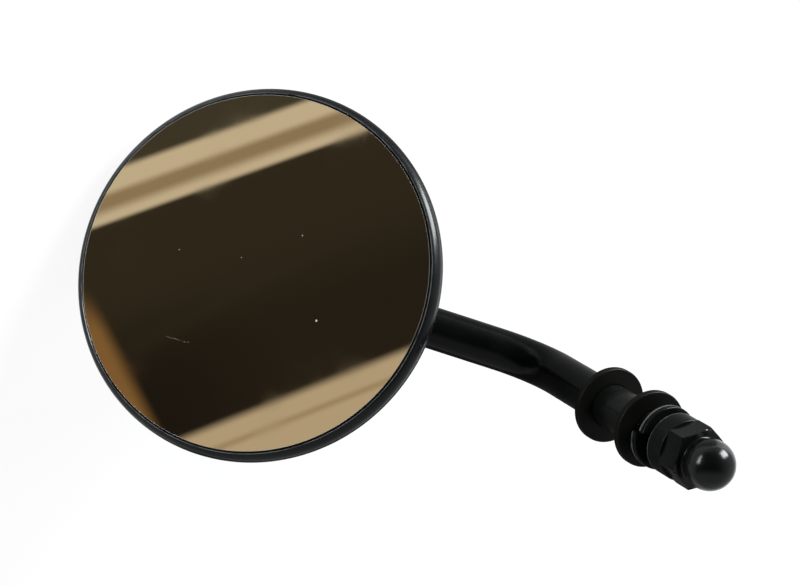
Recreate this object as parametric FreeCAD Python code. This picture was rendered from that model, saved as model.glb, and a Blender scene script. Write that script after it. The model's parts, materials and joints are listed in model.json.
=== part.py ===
import FreeCAD, Part
import math
import os

from FreeCAD import Matrix, Placement, Rotation, Vector

# Driving dimensions of the perch end, millimetres
stud_diameter = 10.0
stud_engaged = 8.25
stud_point = 1.1
washer_diameter = 21.0
washer_thickness = 2.0
washer_bore_clearance = 0.25
washer_edge = 0.45
seat_depth = 0.4
seat_clearance = 0.2
sleeve_diameter = 12.0
sleeve_bore_clearance = 0.15
sleeve_edge = 0.3
perch_gap = 17.4

# Driving dimensions of the lock washer, collar and cap nut
lock_outer_diameter = 17.8
lock_thickness = 2.2
lock_rise = 2.6
lock_bore_clearance = 0.15
lock_split_angle = 6.0
lock_edge = 0.4
collar_diameter = 16.7
collar_height = 6.05
collar_edge = 0.45
bare_stud = 3.5
lock_gap = 2.0
nut_flats = 15.0
nut_corner_angle = -30.0
nut_hex_height = 6.4
nut_base_diameter = 16.4
nut_chamfer_slope_angle = 30.0
nut_thread_clearance = 0.05
nut_bore_depth = 12.95
nut_bore_cone = 1.6
nut_chamfer_reach = 1.0
dome_diameter = 13.4
dome_rise = 10.25
dome_root = 1.0

# Driving dimensions of the stem
stem_diameter = 12.0
stem_end_edge = 0.6
corner_drop = 38.57
corner_radius = 20.0
run_slope_angle = 27.45
run_length = 72.0
elbow_radius = 12.0
neck_turn_angle = -4.293
neck_rise_angle = 41.626
neck_diameter = 6.0
neck_reach = 11.35
neck_length = 8.6
neck_ease = 0.6
neck_ease_height = 0.4
spigot_depth = 4.0

# Driving dimensions of the head, measured from the centre of its front edge along the glass normal
glass_turn_angle = -17.06
glass_rise_angle = 39.80
head_diameter = 101.6
sheet = 0.8
rim_radius = 3.8
rim_depth = 3.3
side_radius = 10.0
back_flat_margin = 0.6
glass_gap = 0.25
glass_recess = 0.9
glass_thickness = 3.0
glass_edge = 0.15
gasket_recess = 1.1
gasket_foot_reach = 1.4
gasket_foot = 0.8
gasket_edge = 0.3
gasket_clearance = 0.05
pad_thickness = 2.3
pad_clearance = 0.1

# Driving dimensions of the ball joint inside the head
ball_setback = 0.97
ball_radius = 7.5
ball_clearance = 0.06
liner_thickness = 1.16
liner_clearance = 0.08
liner_from_angle = 54.0
liner_to_angle = 84.0
socket_wall = 1.6
socket_mouth_angle = 45.0
socket_front = 4.6
socket_collar_wall = 2.4
flange_radius = 19.0
flange_thickness = 1.8
hole_clearance = 0.1
cup_thickness = 1.04
cup_from_angle = 24.0
cup_to_angle = 66.0
cup_flange_radius = 12.0
cup_flange_front = 5.8
cup_flange_thickness = 0.9
post_circle = 15.5
post_diameter = 5.5
post_floor = 0.6
post_count = 3
plate_thickness = 1.2
plate_hole_radius = 6.0
spring_thickness = 0.7
spring_height = 1.71
spring_outer_radius = 11.5
spring_inner_radius = 7.2
spring_clearance = 0.05
screw_diameter = 3.0
screw_head_diameter = 5.5
screw_head_height = 1.5
screw_head_round = 0.75
screw_headroom = 0.49
screw_length = 5.2
screw_slot_width = 0.8
screw_slot_reach = 1.87
screw_slot_depth = 0.7


class Outline:
    """Closed outline in the radius-height plane, turned about the height axis."""

    def __init__(self, radius, height):
        self.first = Vector(radius, 0, height)
        self.last = self.first
        self.edges = []

    def line(self, radius, height):
        point = Vector(radius, 0, height)
        self.edges.append(Part.makeLine(self.last, point))
        self.last = point
        return self

    def arc(self, center_height, radius, start, end, center_radius=0.0):
        middle = self.on_circle(center_radius, center_height, radius, (start + end) / 2)
        point = self.on_circle(center_radius, center_height, radius, end)
        self.edges.append(Part.Arc(self.last, middle, point).toShape())
        self.last = point
        return self

    @staticmethod
    def on_circle(center_radius, center_height, radius, angle):
        turn = math.radians(angle)
        return Vector(center_radius + radius * math.cos(turn), 0, center_height + radius * math.sin(turn))

    def spun(self):
        if self.last.distanceToPoint(self.first) > 1e-7:
            self.edges.append(Part.makeLine(self.last, self.first))
        face = Part.Face(Part.Wire(self.edges))
        return face.revolve(Vector(0, 0, 0), Vector(0, 0, 1), 360)


def cylinder(radius, low, high, center=Vector(0, 0, 0)):
    return Part.makeCylinder(radius, high - low, center + Vector(0, 0, low))


def tube(inner, outer, low, high, edge):
    """Round ring with small bevels on its outer edges."""
    outline = Outline(inner, low).line(outer - edge, low).line(outer, low + edge)
    return outline.line(outer, high - edge).line(outer - edge, high).line(inner, high).spun()


def sphere_height(radius, across):
    return math.sqrt(radius * radius - across * across)


# Levels along the stud, from the perch seat
upper_washer = perch_gap + washer_thickness
lock_low = upper_washer + bare_stud
collar_seat = lock_low + lock_rise + lock_thickness + lock_gap
nut_base = collar_seat + collar_height
stud_end = nut_base + stud_engaged

# The head's stack of pieces, from the front edge backwards to the shell
pad_back = -glass_recess - glass_thickness - pad_thickness
screw_seat = pad_back - screw_headroom - screw_head_height
plate_low = screw_seat - plate_thickness
cup_front = plate_low - spring_height - 2 * spring_clearance
ball_depth = cup_flange_front - cup_front
shell_floor = ball_setback - ball_depth
post_low = shell_floor + flange_thickness
shell_back = shell_floor - sheet

# The shell's outline and the glass within its front edge
rim_center = head_diameter / 2 - rim_radius
side_center = head_diameter / 2 - side_radius
edge_angle = math.degrees(math.asin(rim_depth / rim_radius))
lip_radius = rim_center + (rim_radius - sheet) * math.cos(math.radians(edge_angle))
glass_radius = lip_radius - glass_gap
gasket_foot_radius = glass_radius - gasket_foot_reach
back_flat_radius = flange_radius + back_flat_margin


def back_dome_radius():
    """Radius of the dome that runs on smoothly from the rounded side and ends at the flat of the back."""
    drop = -shell_back - rim_depth
    spread = side_radius ** 2 - side_center ** 2 + back_flat_radius ** 2 - drop ** 2
    lead = drop ** 2 - side_radius ** 2
    rest = (drop * back_flat_radius) ** 2 + spread ** 2 / 4
    root = math.sqrt((side_radius * spread) ** 2 + 4 * lead * rest)
    return (root - side_radius * spread) / (2 * lead)


# The back's dome, outside and inside
dome_radius = back_dome_radius()
dome_center = sphere_height(dome_radius, back_flat_radius) + shell_back
back_angle = math.degrees(math.asin(side_center / (dome_radius - side_radius))) - 90
inner_dome = dome_radius - sheet
inner_flat_radius = sphere_height(inner_dome, dome_center - shell_floor)


def direction(turn, rise):
    """Unit vector at a turn about the vertical and a rise above the horizontal, in degrees."""
    level = math.cos(math.radians(rise))
    along = math.radians(turn)
    return Vector(level * math.cos(along), level * math.sin(along), math.sin(math.radians(rise)))


# Path of the stem, and the head on its end
down = Vector(0, 0, -1)
run_direction = direction(0, -run_slope_angle)
neck_direction = direction(neck_turn_angle, neck_rise_angle)
glass_normal = direction(glass_turn_angle, glass_rise_angle)
corner = down * corner_drop
elbow = corner + run_direction * run_length
elbow_reach = elbow_radius * math.tan(run_direction.getAngle(neck_direction) / 2)
ball_center = elbow + neck_direction * (elbow_reach + neck_reach)
head_center = ball_center + glass_normal * ball_depth
head_side = Vector(0, 0, 1).cross(glass_normal).normalize()
head_top = glass_normal.cross(head_side)


def polar(radius, angle):
    """Point on the ball joint's spheres at an angle from the glass normal."""
    turn = math.radians(angle)
    return radius * math.sin(turn), radius * math.cos(turn) - ball_depth


def in_head(shape):
    """Place a shape built about the glass normal into the part's frame."""
    axes = Matrix(
        head_side.x, head_top.x, glass_normal.x, head_center.x,
        head_side.y, head_top.y, glass_normal.y, head_center.y,
        head_side.z, head_top.z, glass_normal.z, head_center.z,
        0, 0, 0, 1,
    )
    placed = shape.copy()
    placed.Placement = Placement(axes)
    return placed


def shell():
    """Pressed bowl: rolled front edge, rounded side and domed back of one sheet thickness."""
    flat_angle = math.degrees(math.asin(back_flat_radius / dome_radius)) - 90
    inner_flat_angle = math.degrees(math.asin(inner_flat_radius / inner_dome)) - 90
    seat = ball_radius + ball_clearance + liner_thickness + liner_clearance
    hole = seat + socket_wall + hole_clearance
    start = Outline.on_circle(rim_center, -rim_depth, rim_radius, edge_angle)
    outline = Outline(start.x, start.z)
    outline.arc(-rim_depth, rim_radius, edge_angle, 0, rim_center)
    outline.arc(-rim_depth, side_radius, 0, back_angle, side_center)
    outline.arc(dome_center, dome_radius, back_angle, flat_angle)
    outline.line(hole, shell_back)
    outline.line(hole, shell_floor)
    outline.line(inner_flat_radius, shell_floor)
    outline.arc(dome_center, inner_dome, inner_flat_angle, back_angle)
    outline.arc(-rim_depth, side_radius - sheet, back_angle, 0, side_center)
    outline.arc(-rim_depth, rim_radius - sheet, 0, edge_angle, rim_center)
    return outline.spun()


def gasket():
    """Rubber ring that fills the rolled rim and carries the glass on a foot."""
    groove = rim_radius - sheet - gasket_clearance
    wall = side_radius - sheet - gasket_clearance
    low = -glass_recess - glass_thickness - gasket_foot
    top_angle = math.degrees(math.asin((rim_depth - gasket_recess - gasket_edge) / groove))
    low_angle = math.degrees(math.asin((low + rim_depth) / wall))
    start = Outline.on_circle(rim_center, -rim_depth, groove, top_angle)
    outline = Outline(glass_radius, -gasket_recess)
    outline.line(start.x - gasket_edge, -gasket_recess).line(start.x, start.z)
    outline.arc(-rim_depth, groove, top_angle, 0, rim_center)
    outline.arc(-rim_depth, wall, 0, low_angle, side_center)
    outline.line(gasket_foot_radius, low)
    outline.line(gasket_foot_radius, low + gasket_foot)
    outline.line(glass_radius, low + gasket_foot)
    return outline.spun()


def glass():
    front = -glass_recess
    back = front - glass_thickness
    outline = Outline(0, back).line(glass_radius, back).line(glass_radius, front - glass_edge)
    return outline.line(glass_radius - glass_edge, front).line(0, front).spun()


def backing_pad():
    return cylinder(gasket_foot_radius - pad_clearance, pad_back, pad_back + pad_thickness)


def ball_socket():
    """Turned socket: spherical seat, open mouth for the neck, flange on the shell's inner face."""
    bore = ball_radius + ball_clearance + liner_thickness + liner_clearance
    outer = bore + socket_wall
    front = socket_front - ball_depth
    mouth = socket_mouth_angle - 90
    seat_angle = math.degrees(math.asin(ball_setback / outer))
    collar = bore + socket_collar_wall
    outline = Outline(bore, front).line(bore, -ball_depth)
    outline.arc(-ball_depth, bore, 0, mouth)
    rim = Outline.on_circle(0, -ball_depth, outer, mouth)
    outline.line(rim.x, rim.z)
    outline.arc(-ball_depth, outer, mouth, seat_angle)
    outline.line(flange_radius, shell_floor)
    outline.line(flange_radius, post_low)
    outline.line(collar, post_low)
    outline.line(collar, front)
    return outline.spun()


def sphere_zone(inner, outer, start, end):
    """Part of a hollow sphere about the ball between two angles from the glass normal."""
    first = polar(inner, start)
    turned = polar(outer, end)
    outline = Outline(first[0], first[1])
    outline.arc(-ball_depth, inner, 90 - start, 90 - end)
    outline.line(turned[0], turned[1])
    outline.arc(-ball_depth, outer, 90 - end, 90 - start)
    return outline.spun()


def seat_liner():
    inner = ball_radius + ball_clearance
    return sphere_zone(inner, inner + liner_thickness, 180 - liner_to_angle, 180 - liner_from_angle)


def pressure_cup():
    inner = ball_radius + ball_clearance
    outer = inner + cup_thickness
    cup = sphere_zone(inner, outer, cup_from_angle, cup_to_angle)
    flange = cylinder(cup_flange_radius, cup_front - cup_flange_thickness, cup_front)
    middle = (inner + outer) / 2
    hollow = Part.makeSphere(middle, Vector(0, 0, -ball_depth))
    return cup.fuse(flange.cut(hollow)).removeSplitter()


def disc_spring():
    """Conical spring ring between the cup's flange and the plate."""
    low = cup_front + spring_clearance
    high = low + spring_height
    outline = Outline(spring_outer_radius, low).line(spring_outer_radius, low + spring_thickness)
    return outline.line(spring_inner_radius, high).line(spring_inner_radius, high - spring_thickness).spun()


def post_places():
    step = 360 / post_count
    places = []
    for index in range(post_count):
        angle = math.radians(90 + index * step)
        places.append(Vector(post_circle * math.cos(angle), post_circle * math.sin(angle), 0))
    return places


def plate_posts():
    hole = screw_diameter / 2
    posts = []
    for place in post_places():
        body = cylinder(post_diameter / 2, post_low, plate_low, place)
        posts.append(body.cut(cylinder(hole, post_low + post_floor, plate_low, place)))
    return Part.makeCompound(posts)


def spring_plate():
    plate = cylinder(flange_radius, plate_low, screw_seat)
    plate = plate.cut(cylinder(plate_hole_radius, plate_low, screw_seat))
    for place in post_places():
        plate = plate.cut(cylinder(screw_diameter / 2, plate_low, screw_seat, place))
    return plate


def plate_screws():
    """Round-head screws with a cross slot."""
    top = screw_seat + screw_head_height
    screws = []
    for place in post_places():
        head = cylinder(screw_head_diameter / 2, screw_seat, top, place)
        round_edge = [edge for edge in head.Edges if abs(edge.BoundBox.ZMin - top) < 1e-6]
        head = head.makeFillet(screw_head_round, round_edge)
        slot = Part.makeBox(2 * screw_slot_reach, screw_slot_width, screw_slot_depth)
        slot.translate(place + Vector(-screw_slot_reach, -screw_slot_width / 2, top - screw_slot_depth))
        across = slot.copy()
        across.rotate(place, Vector(0, 0, 1), 90)
        screw = head.fuse(cylinder(screw_diameter / 2, screw_seat - screw_length, screw_seat, place))
        screws.append(screw.cut(slot).cut(across).removeSplitter())
    return Part.makeCompound(screws)


def bend(start, along, toward, radius):
    """Middle and end points of a round bend in a path."""
    angle = along.getAngle(toward)
    inward = (toward - along * along.dot(toward)).normalize()
    center = start + inward * radius
    half = angle / 2
    middle = center - inward * radius * math.cos(half) + along * radius * math.sin(half)
    end = center - inward * radius * math.cos(angle) + along * radius * math.sin(angle)
    return middle, end


def turned_along(points, origin, direction):
    """Round body on a direction, given as distance and radius pairs."""
    outline = Outline(0, points[0][0])
    for distance, radius in points:
        outline.line(radius, distance)
    outline.line(0, points[-1][0])
    body = outline.spun()
    body.Placement = Placement(origin, Rotation(Vector(0, 0, 1), direction))
    return body


def stem():
    """One rod: threaded stud, shoulder, bend, long run, elbow, neck and spigot for the ball."""
    shoulder = down * washer_thickness
    radius = stem_diameter / 2
    corner_angle = down.getAngle(run_direction)
    corner_reach = corner_radius * math.tan(corner_angle / 2)
    top = shoulder + down * stem_end_edge
    corner_start = corner - down * corner_reach
    corner_middle, corner_end = bend(corner_start, down, run_direction, corner_radius)
    elbow_start = elbow - run_direction * elbow_reach
    elbow_middle, elbow_end = bend(elbow_start, run_direction, neck_direction, elbow_radius)
    path = Part.Wire([
        Part.makeLine(top, corner_start),
        Part.Arc(corner_start, corner_middle, corner_end).toShape(),
        Part.makeLine(corner_end, elbow_start),
        Part.Arc(elbow_start, elbow_middle, elbow_end).toShape(),
    ])
    section = Part.Wire([Part.makeCircle(radius, top, down)])
    rod = path.makePipeShell([section], True, False)
    stud = stud_diameter / 2
    upper = turned_along([
        (-stem_end_edge, radius),
        (0, radius - stem_end_edge),
        (0, stud),
        (stud_end + washer_thickness - stud_point, stud),
        (stud_end + washer_thickness, stud - stud_point),
    ], shoulder, Vector(0, 0, 1))
    neck = neck_diameter / 2
    lower = turned_along([
        (0, radius),
        (neck_reach - neck_length - neck_ease, neck + neck_ease_height),
        (neck_reach - neck_length, neck),
        (neck_reach + spigot_depth, neck),
    ], elbow_end, neck_direction)
    return rod.fuse([upper, lower]).removeSplitter()


def ball():
    """Ball with the blind hole its stem spigot is pressed into."""
    body = Part.makeSphere(ball_radius, ball_center)
    mouth = ball_center - neck_direction * ball_radius
    hole = Part.makeCylinder(neck_diameter / 2, ball_radius + spigot_depth, mouth, neck_direction)
    return body.cut(hole)


def clamp_washers():
    """Two flat washers, each with a shallow seat for the sleeve, facing one another."""
    bore = stud_diameter / 2 + washer_bore_clearance
    outer = washer_diameter / 2
    seat = sleeve_diameter / 2 + seat_clearance
    outline = Outline(bore, -washer_thickness).line(outer - washer_edge, -washer_thickness)
    outline.line(outer, -washer_thickness + washer_edge).line(outer, -washer_edge).line(outer - washer_edge, 0)
    outline.line(seat, 0).line(seat, -seat_depth).line(bore, -seat_depth)
    lower = outline.spun()
    upper = lower.mirror(Vector(0, 0, perch_gap / 2), Vector(0, 0, 1))
    return Part.makeCompound([lower, upper])


def spacer_sleeve():
    inner = stud_diameter / 2 + sleeve_bore_clearance
    return tube(inner, sleeve_diameter / 2, -seat_depth, perch_gap + seat_depth, sleeve_edge)


def lock_washer():
    """Split spring washer in its free state: one turn of a bevelled bar on a rising helix."""
    inner = stud_diameter / 2 + lock_bore_clearance
    outer = lock_outer_diameter / 2
    middle = (inner + outer) / 2
    turn_share = (360 - lock_split_angle) / 360
    path = Part.makeHelix(lock_rise / turn_share, lock_rise, middle)
    bar = [
        Vector(inner, 0, lock_edge / 2),
        Vector(inner + lock_edge / 2, 0, 0),
        Vector(outer - lock_edge, 0, 0),
        Vector(outer, 0, lock_edge),
        Vector(outer, 0, lock_thickness - lock_edge),
        Vector(outer - lock_edge, 0, lock_thickness),
        Vector(inner + lock_edge / 2, 0, lock_thickness),
        Vector(inner, 0, lock_thickness - lock_edge / 2),
    ]
    section = Part.makePolygon(bar + bar[:1])
    body = Part.Wire(path.Edges).makePipeShell([section], True, True)
    body.rotate(Vector(0, 0, 0), Vector(0, 0, 1), lock_split_angle / 2)
    body.translate(Vector(0, 0, lock_low))
    return body


def collar():
    inner = stud_diameter / 2 + lock_bore_clearance
    return tube(inner, collar_diameter / 2, collar_seat, nut_base, collar_edge)


def cap_nut():
    """Hexagon with turned chamfers on both ends and a closed dome, bored for the stud."""
    top = nut_base + nut_hex_height
    across = nut_flats / 2 / math.cos(math.radians(30))
    points = []
    for index in range(7):
        angle = math.radians(nut_corner_angle + 60 * index)
        points.append(Vector(across * math.cos(angle), across * math.sin(angle), nut_base))
    hexagon = Part.Face(Part.makePolygon(points)).extrude(Vector(0, 0, nut_hex_height))
    fall = math.tan(math.radians(nut_chamfer_slope_angle))
    reach = across + nut_chamfer_reach
    base_radius = nut_base_diameter / 2
    flat = nut_flats / 2
    trim = Outline(0, nut_base).line(base_radius, nut_base)
    trim.line(reach, nut_base + (reach - base_radius) * fall)
    trim.line(reach, top - (reach - flat) * fall).line(flat, top).line(0, top)
    dome = dome_diameter / 2
    center = nut_base + dome_rise
    root = top - dome_root
    cap = Outline(0, root).line(dome, root).line(dome, center).arc(center, dome, 0, 90)
    bore = stud_diameter / 2 + nut_thread_clearance
    end = nut_base + nut_bore_depth
    hole = Outline(0, nut_base).line(bore, nut_base).line(bore, end - nut_bore_cone)
    hole.line(bore - nut_bore_cone, end).line(0, end)
    return hexagon.common(trim.spun()).fuse(cap.spun()).cut(hole.spun()).removeSplitter()


# Build and write every piece
pieces = {
    "shell": in_head(shell()),
    "gasket": in_head(gasket()),
    "glass": in_head(glass()),
    "backing_pad": in_head(backing_pad()),
    "ball_socket": in_head(ball_socket()),
    "seat_liner": in_head(seat_liner()),
    "pressure_cup": in_head(pressure_cup()),
    "disc_spring": in_head(disc_spring()),
    "spring_plate": in_head(spring_plate()),
    "plate_posts": in_head(plate_posts()),
    "plate_screws": in_head(plate_screws()),
    "ball": ball(),
    "stem": stem(),
    "clamp_washers": clamp_washers(),
    "spacer_sleeve": spacer_sleeve(),
    "lock_washer": lock_washer(),
    "collar": collar(),
    "cap_nut": cap_nut(),
}
os.makedirs("parts", exist_ok=True)
for name, piece in pieces.items():
    piece.exportStep("parts/" + name + ".step")
    print(name, piece.isValid(), round(piece.Volume, 1), len(piece.Solids))
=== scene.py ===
"""Round motorcycle mirror: the finished pieces and their looks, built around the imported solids."""
from __future__ import annotations

import json
import logging
import math
from dataclasses import dataclass, field
from enum import Enum
from typing import Any

import bpy
from mathutils import Matrix, Vector

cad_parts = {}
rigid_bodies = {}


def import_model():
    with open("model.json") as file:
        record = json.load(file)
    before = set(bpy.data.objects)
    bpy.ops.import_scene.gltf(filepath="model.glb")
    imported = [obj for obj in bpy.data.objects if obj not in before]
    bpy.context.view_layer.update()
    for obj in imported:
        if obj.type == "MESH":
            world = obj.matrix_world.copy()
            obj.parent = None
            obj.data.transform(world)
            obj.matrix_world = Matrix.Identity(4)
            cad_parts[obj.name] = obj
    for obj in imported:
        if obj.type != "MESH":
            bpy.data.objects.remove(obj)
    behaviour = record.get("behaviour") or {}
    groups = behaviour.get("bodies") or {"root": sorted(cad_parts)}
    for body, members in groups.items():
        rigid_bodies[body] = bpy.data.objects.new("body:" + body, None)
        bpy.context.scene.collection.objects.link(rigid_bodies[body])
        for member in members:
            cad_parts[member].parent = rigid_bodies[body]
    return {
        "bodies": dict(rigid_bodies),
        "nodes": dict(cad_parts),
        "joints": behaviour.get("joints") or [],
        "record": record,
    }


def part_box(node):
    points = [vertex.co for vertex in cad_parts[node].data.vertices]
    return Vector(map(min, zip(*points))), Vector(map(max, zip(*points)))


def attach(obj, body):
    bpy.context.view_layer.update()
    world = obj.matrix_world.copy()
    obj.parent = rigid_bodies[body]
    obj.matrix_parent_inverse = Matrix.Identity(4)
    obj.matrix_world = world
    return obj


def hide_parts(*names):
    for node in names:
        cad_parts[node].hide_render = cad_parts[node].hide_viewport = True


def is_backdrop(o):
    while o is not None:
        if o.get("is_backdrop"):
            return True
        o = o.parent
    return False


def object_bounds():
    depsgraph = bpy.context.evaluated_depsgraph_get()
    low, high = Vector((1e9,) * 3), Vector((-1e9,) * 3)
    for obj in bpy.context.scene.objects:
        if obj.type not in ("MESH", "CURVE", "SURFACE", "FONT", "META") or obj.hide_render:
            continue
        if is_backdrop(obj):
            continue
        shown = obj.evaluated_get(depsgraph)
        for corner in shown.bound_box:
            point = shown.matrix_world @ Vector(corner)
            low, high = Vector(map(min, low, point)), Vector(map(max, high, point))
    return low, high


log = logging.getLogger("mirror")

MM = 0.001
IMAGE_WIDTH = 800
IMAGE_HEIGHT = 586
Point = tuple[float, float]
Colour = tuple[float, float, float]
Piece = bpy.types.Object
Material = bpy.types.Material


class Axis(Enum):
    """Directions that pieces are built about."""

    UP = (0.0, 0.0, 1.0)
    DOWN = (0.0, 0.0, -1.0)

    @property
    def vector(self) -> Vector:
        """The direction as a vector."""
        return Vector(self.value)


class Combine(Enum):
    """Ways to put two closed shapes together."""

    COMMON = "INTERSECT"
    BOTH = "UNION"
    CUT = "DIFFERENCE"


class Wire:
    """A shader socket that takes part in arithmetic: each expression adds its Math node."""

    def __init__(self, graph: Graph, socket: bpy.types.NodeSocket) -> None:
        """Wrap an output socket of a graph."""
        self.graph = graph
        self.socket = socket

    def math(self, operation: str, *others: Any) -> Wire:
        """Result of a Math node on this value and others, numbers or wires."""
        inputs = dict(enumerate((self, *others)))
        return self.graph.add("ShaderNodeMath", {"operation": operation}, inputs)

    def __add__(self, other: Any) -> Wire:
        """Sum."""
        return self.math("ADD", other)

    def __sub__(self, other: Any) -> Wire:
        """Difference."""
        return self.math("SUBTRACT", other)

    def __rsub__(self, other: Any) -> Wire:
        """Difference with the number first."""
        return self.graph.add("ShaderNodeMath", {"operation": "SUBTRACT"}, {0: other, 1: self})

    def __mul__(self, other: Any) -> Wire:
        """Product."""
        return self.math("MULTIPLY", other)

    def __truediv__(self, other: Any) -> Wire:
        """Quotient."""
        return self.math("DIVIDE", other)

    __radd__ = __add__
    __rmul__ = __mul__

    def step(self, low: float, high: float) -> Wire:
        """Smooth ramp from 0 at low to 1 at high."""
        inputs = {0: self, 1: low, 2: high, 3: 0.0, 4: 1.0}
        return self.graph.add("ShaderNodeMapRange", {"interpolation_type": "SMOOTHSTEP"}, inputs)

    def fade(self, low: float, high: float) -> Wire:
        """Smooth ramp from 1 at low to 0 at high."""
        return 1.0 - self.step(low, high)

    def band(self, rise: Point, fall: Point) -> Wire:
        """1 between a soft rise and a soft fall, 0 outside them."""
        return self.step(*rise) * self.fade(*fall)

    def hypot(self, other: Wire) -> Wire:
        """Length of a vector whose sides are this value and another."""
        return (self * self + other * other).math("SQRT")

    def clamp(self) -> Wire:
        """The value held between 0 and 1."""
        return self.graph.add("ShaderNodeClamp", {}, {0: self, 1: 0.0, 2: 1.0})


class Graph:
    """Node graph of one material or of the world."""

    NOISE_ROUGHNESS = 0.55

    def __init__(self, tree: bpy.types.NodeTree) -> None:
        """Start from an empty tree."""
        self.tree = tree
        tree.nodes.clear()

    def add(self, kind: str, settings: dict[str, Any], inputs: dict[Any, Any], output: Any = 0) -> Wire:
        """Add a node, set it up and connect its inputs.

        Args:
            kind: the node's type.
            settings: properties that are set first.
            inputs: values or wires by socket name or number.
            output: the output socket's name or number.

        Returns:
            The chosen output.
        """
        node = self.tree.nodes.new(kind)
        for name, value in settings.items():
            setattr(node, name, value)
        for name, value in inputs.items():
            if isinstance(value, Wire):
                self.tree.links.new(value.socket, node.inputs[name])
            else:
                node.inputs[name].default_value = value
        return Wire(self, node.outputs[output] if len(node.outputs) else None)

    def coordinates(self) -> Wire:
        """Place on the piece, in metres."""
        return self.add("ShaderNodeTexCoord", {}, {}, "Object")

    def across_and_up(self) -> tuple[Wire, Wire]:
        """Place on the piece along X and along Y."""
        across = self.add("ShaderNodeSeparateXYZ", {}, {0: self.coordinates()}, "X")
        return across, Wire(self, across.socket.node.outputs["Y"])

    def along(self, place: Wire, origin: Vector, axis: Vector) -> Wire:
        """Distance of a place from an origin along a unit axis."""
        offset = self.add("ShaderNodeVectorMath", {"operation": "SUBTRACT"}, {0: place, 1: origin})
        return self.add("ShaderNodeVectorMath", {"operation": "DOT_PRODUCT"}, {0: offset, 1: axis}, "Value")

    def noise(self, place: Wire, size: float, detail: float = 2.0) -> Wire:
        """Soft noise about 0.5, with features of a size in metres and some finer layers."""
        inputs = {"Vector": place, "Scale": 1.0 / size, "Detail": detail, "Roughness": self.NOISE_ROUGHNESS}
        return self.add("ShaderNodeTexNoise", {}, inputs)

    def specks(self, place: Wire, spacing: float, share: float, radius: float) -> Wire:
        """Sparse round specks.

        Args:
            place: where they are read.
            spacing: mean distance between cells, metres.
            share: share of the cells that hold a speck.
            radius: speck radius as a share of the spacing.

        Returns:
            1 on a speck, 0 elsewhere.
        """
        inputs = {"Vector": place, "Scale": 1.0 / spacing}
        distance = self.add("ShaderNodeTexVoronoi", {}, inputs, "Distance")
        cell = self.add("ShaderNodeTexVoronoi", {}, inputs, "Color")
        chance = self.add("ShaderNodeSeparateColor", {}, {0: cell})
        return distance.fade(radius * 0.5, radius) * chance.step(1.0 - share, 1.0 - share + 0.01)

    def blend(self, factor: Any, first: Any, second: Any) -> Wire:
        """Colour between two colours or wires: the first at 0, the second at 1."""
        inputs = {0: factor, 6: self.rgba(first), 7: self.rgba(second)}
        return self.add("ShaderNodeMix", {"data_type": "RGBA"}, inputs, 2)

    @staticmethod
    def rgba(colour: Any) -> Any:
        """A plain colour with its alpha; wires pass."""
        return colour if isinstance(colour, Wire) else (*colour, 1.0)

    def bump(self, height: Wire, distance: float) -> Wire:
        """Surface normal from a height between 0 and 1 that stands for a distance, metres."""
        return self.add("ShaderNodeBump", {}, {"Height": height, "Distance": distance, "Strength": 1.0})

    def shine(self, colour: Any, kind: str = "Emission", strength: float = 1.0) -> Wire:
        """Shader that gives light of one colour, as a surface or as the world's background."""
        return self.add(f"ShaderNode{kind}", {}, {"Color": self.rgba(colour), "Strength": strength})

    def choose(self, factor: Wire, first: Wire, second: Wire) -> Wire:
        """Shader between two shaders: the first at 0, the second at 1."""
        return self.add("ShaderNodeMixShader", {}, {0: factor, 1: first, 2: second})

    def close(self, shader: Wire, kind: str = "Material") -> None:
        """End the graph of a material or of the world in a shader."""
        self.add(f"ShaderNodeOutput{kind}", {}, {"Surface": shader})

    def surface(self, **inputs: Any) -> None:
        """End a material in one principled shader; spaces in its sockets' names are underscores."""
        named = {name.replace("_", " "): value for name, value in inputs.items()}
        self.close(self.add("ShaderNodeBsdfPrincipled", {}, named))


def new_graph(name: str) -> tuple[Material, Graph]:
    """Start a material.

    Args:
        name: the material's name.

    Returns:
        The material and its empty graph.
    """
    material = bpy.data.materials.new(name)
    material.use_nodes = True
    return material, Graph(material.node_tree)


@dataclass(frozen=True)
class EdgeWearAndHighlight:
    """A circle about a piece's axis where the coat is lighter, as wear and painted highlight; millimetres.
    """

    radius: float
    height: float
    width: float
    climb: float = 0.0

    def mask(self, reach: Wire, height: Wire, turn: Wire) -> Wire:
        """Where the coat is lighter, for wear and as a painted highlight.

        Args:
            reach: distance from the axis.
            height: height on the axis.
            turn: angle about the axis, 0 to 1.

        Returns:
            1 on the edge, 0 elsewhere.
        """
        out = reach - self.radius
        up = height - turn * self.climb - self.height
        return out.hypot(up).fade(0.5 * self.width, self.width)


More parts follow.
